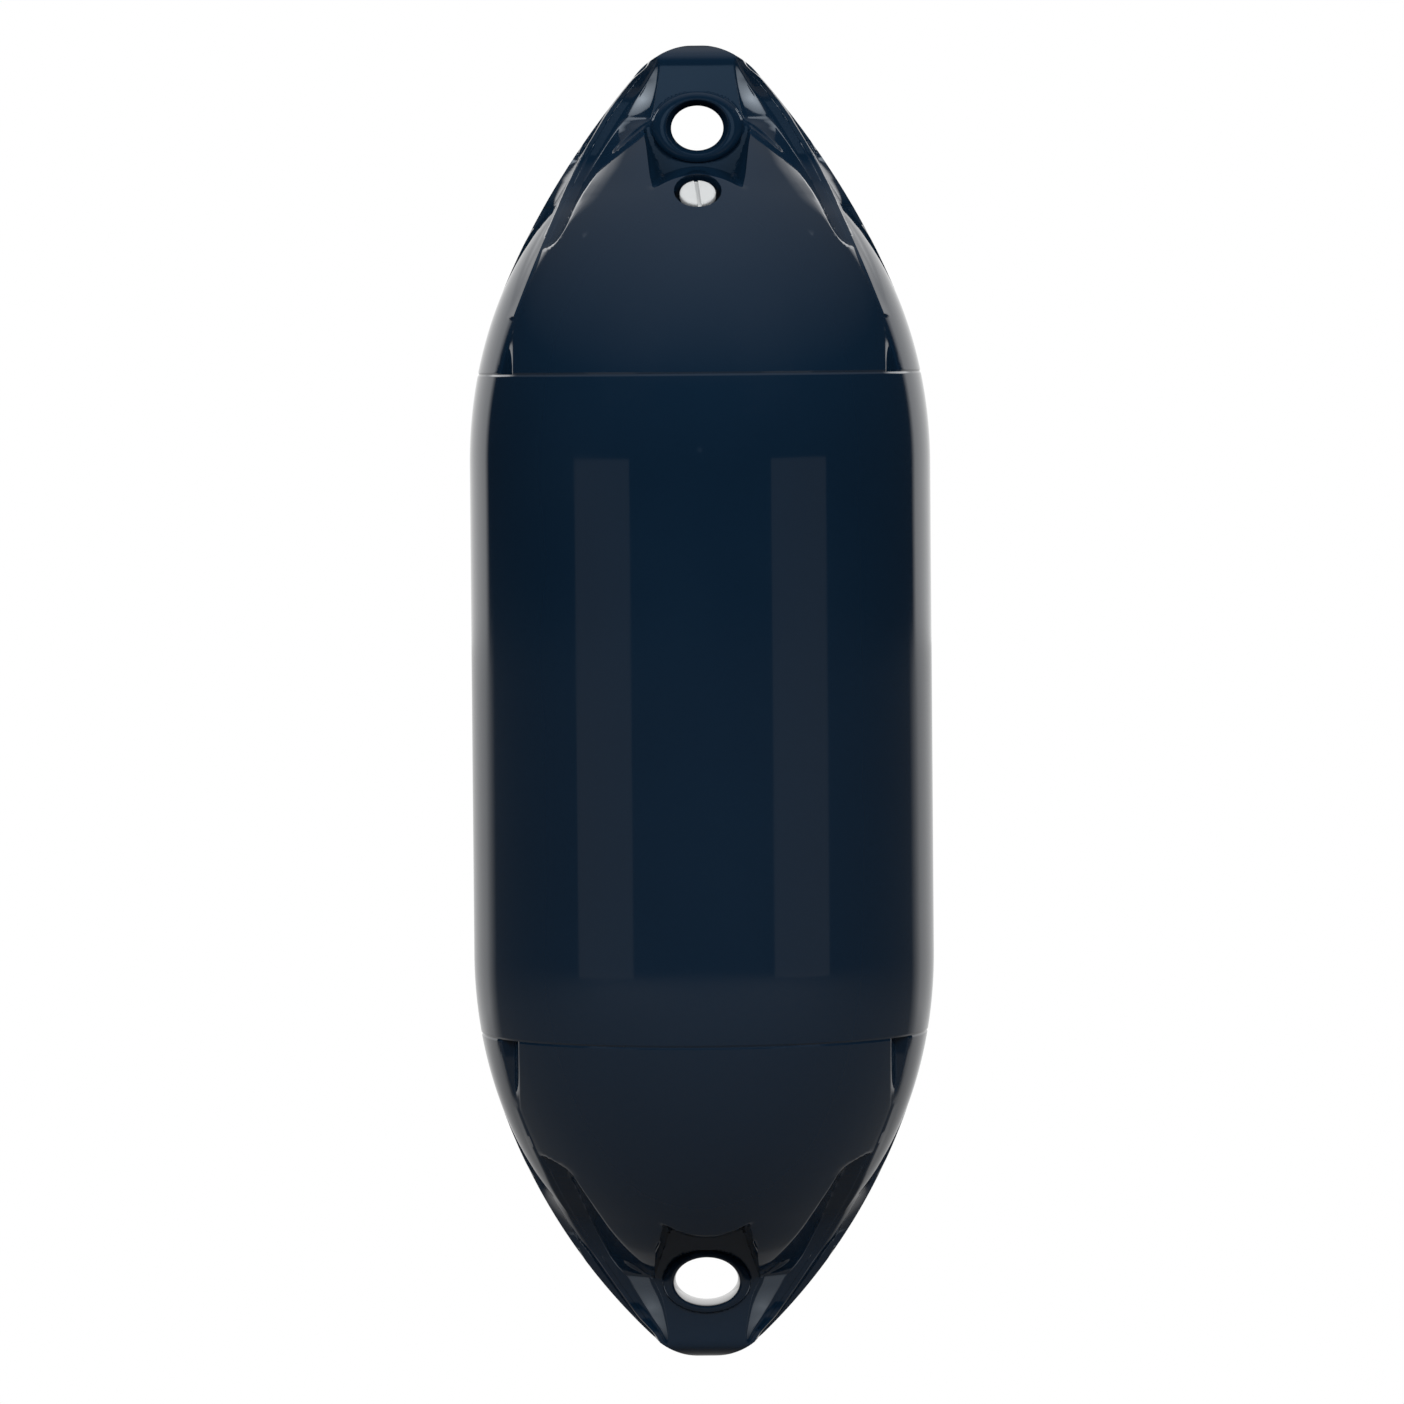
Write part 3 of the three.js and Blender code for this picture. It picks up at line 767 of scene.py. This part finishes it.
def moulded(name, colour, deep, roughness, spread, detail, scales, relief):
    """A moulded plastic: two close colours and a range of roughness, mixed by the detail group's mask, with
    the group's height as a fine relief."""
    material, tree, shader = new_material(name)
    nodes, links = tree.nodes, tree.links
    group = nodes.new("ShaderNodeGroup")
    group.node_tree = detail
    for socket, value in zip(("Wave Scale", "Speck Scale", "Speck Share"), scales):
        group.inputs[socket].default_value = value
    tint = nodes.new("ShaderNodeMix")
    tint.data_type = "RGBA"
    tint.inputs["A"].default_value = (*deep, 1.0)
    tint.inputs["B"].default_value = (*colour, 1.0)
    gloss = nodes.new("ShaderNodeMapRange")
    gloss.inputs["From Min"].default_value = 0.3
    gloss.inputs["From Max"].default_value = 0.7
    gloss.inputs["To Min"].default_value = roughness - spread
    gloss.inputs["To Max"].default_value = roughness + spread
    bump = nodes.new("ShaderNodeBump")
    bump.inputs["Strength"].default_value = 1.0
    bump.inputs["Distance"].default_value = relief
    links.new(group.outputs["Mask"], tint.inputs["Factor"])
    links.new(group.outputs["Mask"], gloss.inputs["Value"])
    links.new(group.outputs["Height"], bump.inputs["Height"])
    links.new(tint.outputs["Result"], shader.inputs["Base Color"])
    links.new(gloss.outputs["Result"], shader.inputs["Roughness"])
    links.new(bump.outputs["Normal"], shader.inputs["Normal"])
    shader.inputs["IOR"].default_value = PLASTIC_IOR
    return material


def paint_bore_shade(material, end):
    """Painted shade in the bore of an eye: a mask of the distance from the eye's axis lowers the specular
    level to nothing on the wall, so that it mirrors nothing and stays dark.
    """
    tree = material.node_tree
    where = tree.nodes.new("ShaderNodeTexCoord")
    split = tree.nodes.new("ShaderNodeSeparateXYZ")
    tree.links.new(where.outputs["Object"], split.inputs["Vector"])
    across = joined(tree, "DIVIDE", split.outputs["X"], end["eye_aspect"])
    along = joined(tree, "SUBTRACT", split.outputs["Z"], (end["tip"] - end["up"] * end["eye"]) * MM)
    reach = length_of(tree, across, along)
    edge = (end["eye_radius"] + end["eye_flare"]) * MM
    # Painted shade: no reflection inside the eye's mouth, the plastic's own level outside it
    level = ramp(tree, reach, edge, edge + BORE_SHADE_FADE, 0.0, PLASTIC_LEVEL)
    tree.links.new(level, tree.nodes["Principled BSDF"].inputs["Specular IOR Level"])


def dress(piece, material, body, slot, *nodes):
    """Gives a piece its material and the body it rides on, and hides the nodes it stands for; its slot is not
    used.
    """
    piece.data.materials.clear()
    piece.data.materials.append(material)
    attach(piece, body)
    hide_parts(*nodes)


def build_camera():
    """The camera at the photograph's place: level with the upper dome, aimed at the middle, rolled by the
    lean."""
    data = bpy.data.cameras.new("camera")
    camera = new_object("camera", data)
    sight = CAMERA_AIM - CAMERA_PLACE
    turn = sight.to_track_quat("-Z", "Y").to_matrix().to_4x4()
    camera.matrix_world = Matrix.Translation(CAMERA_PLACE) @ turn @ Matrix.Rotation(CAMERA_ROLL, 4, "Z")
    data.angle = 2.0 * math.atan(FRAME_WIDTH / 2.0 / sight.length)
    data.clip_end = 50.0
    bpy.context.scene.camera = camera


def build_floor():
    """A pale floor: diffuse near the object, where its shadow falls, and fading to plain white further out.
    In reflections only its far part behind the object is white."""
    work = bmesh.new()
    level = Matrix.Translation((0, 0, FLOOR_Z))
    bmesh.ops.create_circle(work, cap_ends=True, segments=96, radius=FLOOR_RADIUS, matrix=level)
    mesh = bpy.data.meshes.new("floor")
    work.to_mesh(mesh)
    work.free()
    floor = new_object("floor", mesh)
    material, tree, shader = new_material("pale_floor")
    nodes, links = tree.nodes, tree.links
    shader.inputs["Base Color"].default_value = (0.2, 0.2, 0.2, 1.0)
    shader.inputs["Roughness"].default_value = 0.9
    shader.inputs["Specular IOR Level"].default_value = 0.1
    where = nodes.new("ShaderNodeTexCoord")
    split = nodes.new("ShaderNodeSeparateXYZ")
    path = nodes.new("ShaderNodeLightPath")
    white = nodes.new("ShaderNodeEmission")
    glow = nodes.new("ShaderNodeEmission")
    base = nodes.new("ShaderNodeAddShader")
    mix = nodes.new("ShaderNodeMixShader")
    white.inputs["Color"].default_value = (1.0, 1.0, 1.0, 1.0)
    glow.inputs["Color"].default_value = (1.0, 1.0, 1.0, 1.0)
    links.new(where.outputs["Object"], split.inputs["Vector"])
    behind, reach = level_share(tree, split)
    seen = joined(tree, "MAXIMUM", path.outputs["Is Camera Ray"], path.outputs["Is Transmission Ray"])
    far = ramp(tree, reach, *FLOOR_FAR, *FLOOR_FAR_LEVELS)
    far = joined(tree, "MULTIPLY", ramp(tree, behind, *FLOOR_BEHIND), far)
    plain = joined(tree, "MULTIPLY", seen, ramp(tree, reach, *FLOOR_FADE))
    mirrored = joined(tree, "MULTIPLY", path.outputs["Is Glossy Ray"], far)
    share = joined(tree, "MAXIMUM", plain, mirrored)
    links.new(joined(tree, "MULTIPLY", seen, FLOOR_GLOW), glow.inputs["Strength"])
    links.new(shader.outputs["BSDF"], base.inputs[0])
    links.new(glow.outputs["Emission"], base.inputs[1])
    links.new(share, mix.inputs["Fac"])
    links.new(base.outputs["Shader"], mix.inputs[1])
    links.new(white.outputs["Emission"], mix.inputs[2])
    links.new(mix.outputs["Shader"], nodes["Material Output"].inputs["Surface"])
    mesh.materials.append(material)


def build_world():
    """White for the camera, and for reflections where the backdrop stands behind the object. Everything else
    sees the rest of the studio, each part a smooth function of the direction: a soft glow overhead, a dark
    front, and a brighter patch along the backdrop's upper brim."""
    world = bpy.data.worlds.new("studio")
    bpy.context.scene.world = world
    world.use_nodes = True
    tree = world.node_tree
    nodes, links = tree.nodes, tree.links
    nodes.clear()
    out = nodes.new("ShaderNodeOutputWorld")
    where = nodes.new("ShaderNodeTexCoord")
    split = nodes.new("ShaderNodeSeparateXYZ")
    path = nodes.new("ShaderNodeLightPath")
    studio = nodes.new("ShaderNodeBackground")
    white = nodes.new("ShaderNodeBackground")
    mix = nodes.new("ShaderNodeMixShader")
    white.inputs["Color"].default_value = (1.0, 1.0, 1.0, 1.0)
    studio.inputs["Color"].default_value = (1.0, 1.0, 1.0, 1.0)
    links.new(where.outputs["Generated"], split.inputs["Vector"])
    height = split.outputs["Z"]
    behind, _ = level_share(tree, split)
    aside = joined(tree, "MULTIPLY", joined(tree, "ABSOLUTE", split.outputs["X"]), BRIM_SLOPE)
    brim = joined(tree, "MAXIMUM", joined(tree, "MINIMUM", aside, BRIM_HIGH), BRIM_LOW)
    above = joined(tree, "SUBTRACT", height, brim)
    backdrop = ramp(tree, behind, *BACKDROP_BEHIND)
    backdrop = joined(tree, "MULTIPLY", backdrop, ramp(tree, height, *BACKDROP_HEIGHT))
    backdrop = joined(tree, "MULTIPLY", backdrop, ramp(tree, above, *BACKDROP_TOP, 1.0, 0.0))
    rest = joined(tree, "MAXIMUM", ramp(tree, height, *CEILING_HEIGHT, 0.0, CEILING_LEVEL), ROOM_LEVEL)
    patch = ramp(tree, height, *PATCH_HEIGHT)
    patch = joined(tree, "MULTIPLY", patch, ramp(tree, above, *PATCH_TOP, 1.0, 0.0))
    patch = joined(tree, "MULTIPLY", patch, backdrop)
    rest = joined(tree, "MAXIMUM", rest, joined(tree, "MULTIPLY", patch, PATCH_LEVEL))
    backdrop = joined(tree, "MULTIPLY", backdrop, joined(tree, "SUBTRACT", 1.0, patch))
    links.new(rest, studio.inputs["Strength"])
    seen = joined(tree, "MAXIMUM", path.outputs["Is Camera Ray"], path.outputs["Is Transmission Ray"])
    seen = joined(tree, "MAXIMUM", seen, joined(tree, "MULTIPLY", path.outputs["Is Glossy Ray"], backdrop))
    links.new(seen, mix.inputs["Fac"])
    links.new(studio.outputs["Background"], mix.inputs[1])
    links.new(white.outputs["Background"], mix.inputs[2])
    links.new(mix.outputs["Shader"], out.inputs["Surface"])


def soft_lamp(name, place, aim, size, power, seen=False):
    """A rectangular soft lamp, shown in reflections only if it is meant to be seen there."""
    data = bpy.data.lights.new(name, "AREA")
    data.shape = "RECTANGLE"
    data.size, data.size_y = size
    data.energy = power
    lamp = new_object(name, data)
    lamp.location = place
    lamp.rotation_euler = (Vector(aim) - Vector(place)).to_track_quat("-Z", "Y").to_euler()
    lamp.visible_camera = False
    lamp.visible_glossy = seen
    return lamp


def mirrored_card(name, place, aim, size, power, spread, colour):
    """A small card with a grid, which is only there to be mirrored."""
    card = soft_lamp(name, place, aim, size, power, seen=True)
    card.data.spread = spread
    card.data.color = colour
    card.visible_diffuse = False


def build_lamps():
    """Two broad keys from the upper front, two dim panels that the barrel mirrors as strips, a small card
    beside each flank of the lugs, an overhead fill, and a dim blue card that the upper lug's flat mirrors."""
    strip_power = STRIP_RADIANCE * math.pi * STRIP_SIZE[0] * STRIP_SIZE[1]
    for side in (-1.0, 1.0):
        key_place = (side * KEY_PLACE[0], *KEY_PLACE[1:])
        soft_lamp(f"key_{side:+.0f}", key_place, LAMP_AIM, KEY_SIZE, KEY_POWER)
        strip_place = (side * STRIP_PLACE[0], *STRIP_PLACE[1:])
        strip_aim = (0.0, 0.0, STRIP_PLACE[2])
        soft_lamp(f"strip_{side:+.0f}", strip_place, strip_aim, STRIP_SIZE, strip_power, seen=True)
        for name, height, flank, power in FLANK_CARD_LEVELS:
            mirrored_card(f"{name}_card_{side:+.0f}", (side * FLANK_CARD_OUT, 0.0, height),
                          (side * FLANK_OUT, FLANK_FRONT, flank), FLANK_CARD_SIZE, power,
                          FLANK_CARD_SPREAD, FLANK_CARD_COLOUR)
    soft_lamp("overhead", OVERHEAD_PLACE, LAMP_AIM, OVERHEAD_SIZE, OVERHEAD_POWER)
    mirrored_card("card", FRONT_CARD_PLACE, FRONT_CARD_AIM, FRONT_CARD_SIZE, FRONT_CARD_POWER,
                  FRONT_CARD_SPREAD, FRONT_CARD_COLOUR)


def build_materials():
    """The finishes: navy PVC, satin black plastic, black rubber and white nylon."""
    detail = surface_detail()
    pvc = moulded("navy_pvc", (0.0045, 0.0165, 0.036), (0.0030, 0.0130, 0.0300), 0.07, 0.02, detail,
                  (14.0, 1200.0, 0.02), 0.00008)
    # Painted shade: the upper eye's bore mirrors nothing, so it stays dark
    paint_bore_shade(pvc, UPPER)
    insert = moulded("black_insert", (0.011, 0.012, 0.013), (0.007, 0.008, 0.009), 0.42, 0.06, detail,
                     (90.0, 2500.0, 0.5), 0.00004)
    rubber = moulded("seal_rubber", (0.006, 0.006, 0.007), (0.004, 0.004, 0.004), 0.62, 0.08, detail,
                     (120.0, 3000.0, 0.6), 0.00005)
    nylon = moulded("white_nylon", (0.57, 0.585, 0.59), (0.50, 0.515, 0.52), 0.34, 0.05, detail,
                    (160.0, 2600.0, 0.5), 0.00003)
    return pvc, insert, rubber, nylon


def main():
    """Builds the pieces, the finishes, the stage and the camera."""
    pvc, insert, rubber, nylon = build_materials()
    place = valve_place()
    upper_end = build_end("upper_end", UPPER)
    cut_pocket(upper_end, place)
    lower_end = build_end("lower_end", LOWER)
    for piece in (upper_end, build_barrel(), lower_end):
        dress(piece, pvc, "fender", "pvc", "fender_body")
    dress(build_screw(place), nylon, "plug", "nylon", "valve_screw")
    dress(build_seal(place), rubber, "plug_seal", "seal_rubber", "valve_seal")
    frame["nodes"]["valve_insert"].data.materials.clear()
    frame["nodes"]["valve_insert"].data.materials.append(insert)
    build_camera()
    build_floor()
    build_world()
    build_lamps()
    bpy.context.scene.view_settings.view_transform = "Standard"


main()
